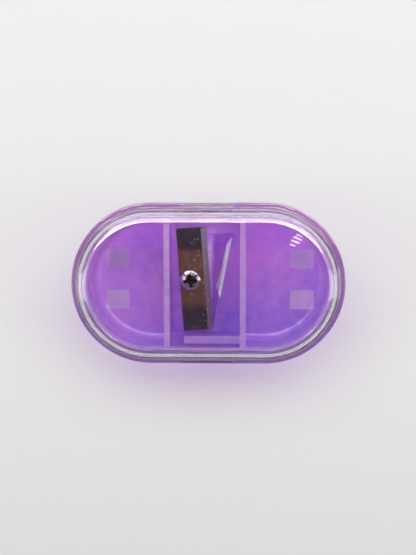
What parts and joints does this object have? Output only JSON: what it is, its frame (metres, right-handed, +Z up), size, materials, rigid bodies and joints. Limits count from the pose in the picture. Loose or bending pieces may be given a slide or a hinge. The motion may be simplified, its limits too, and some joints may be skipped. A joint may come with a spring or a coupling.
{
  "type": "pencil sharpener",
  "caption": "Capsule-shaped pocket pencil sharpener: translucent purple tray with a one-hole sharpener block between two shavings chambers, under a clear snap-fit lid",
  "frame": {"origin": "on the surface the sharpener rests on, under the middle of its plan", "axes": "+X along the length, +Z up through the lid, +Y out of the pencil hole"},
  "size_m": [0.062, 0.0364, 0.0212],
  "materials": {
    "tray_plastic": "moulded translucent purple polystyrene, glossy",
    "block_plastic": "moulded translucent purple polystyrene, glossy",
    "blade_steel": "hardened carbon steel, darkened by heat treatment, bright ground bevel",
    "screw_plating": "bright nickel plate",
    "lid_plastic": "moulded clear polystyrene, glossy",
    "pad_foam": "grey self-adhesive non-slip pad, matt"
  },
  "bodies": {
    "tray": {"base_tray": "tray_plastic", "sharpener_block": "block_plastic", "blade": "blade_steel", "blade_screw": "screw_plating", "foot_pad_left_front": "pad_foam", "foot_pad_left_back": "pad_foam", "foot_pad_right_front": "pad_foam", "foot_pad_right_back": "pad_foam"},
    "lid": {"clear_lid": "lid_plastic"}
  },
  "joints": [
    {"name": "lid_lift", "type": "slide", "parent": "tray", "child": "lid", "axis": [0, 0, 1], "range_m": [0, 0.02]}
  ]
}
